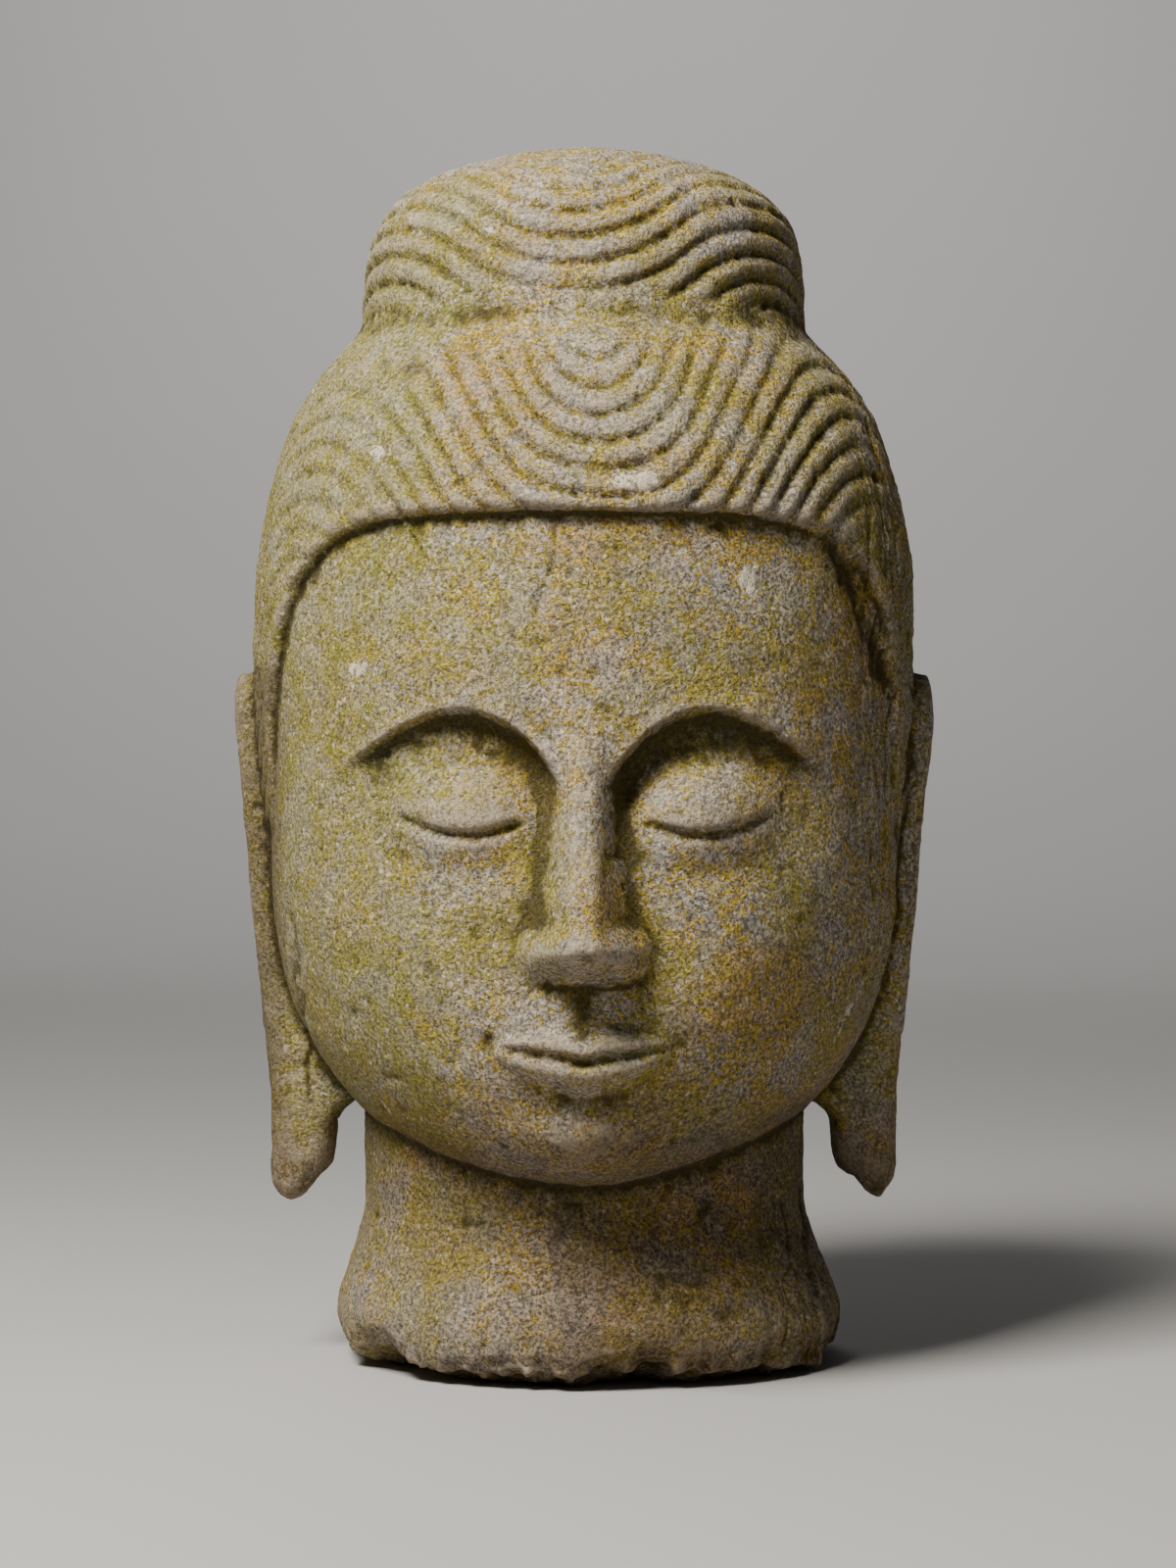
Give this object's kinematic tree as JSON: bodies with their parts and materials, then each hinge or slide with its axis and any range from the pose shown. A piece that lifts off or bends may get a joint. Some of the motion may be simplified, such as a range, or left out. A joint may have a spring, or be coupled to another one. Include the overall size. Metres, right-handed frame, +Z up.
{
  "type": "stone buddha head",
  "caption": "Carved stone Buddha head with waved hair, round topknot, long ears and closed eyes, standing on its broken neck.",
  "frame": {"origin": "middle of the flat underside of the neck, at the height where the head stands", "axes": "+Z up through the neck and topknot, the face looks along -Y, +X towards the head's own left ear"},
  "size_m": [0.2788, 0.2987, 0.48],
  "materials": {
    "stone": "coarse weathered grey sandstone with ochre lichen and a little green algae, unpolished"
  },
  "bodies": {
    "root": {"buddha_head": "stone"}
  },
  "joints": []
}
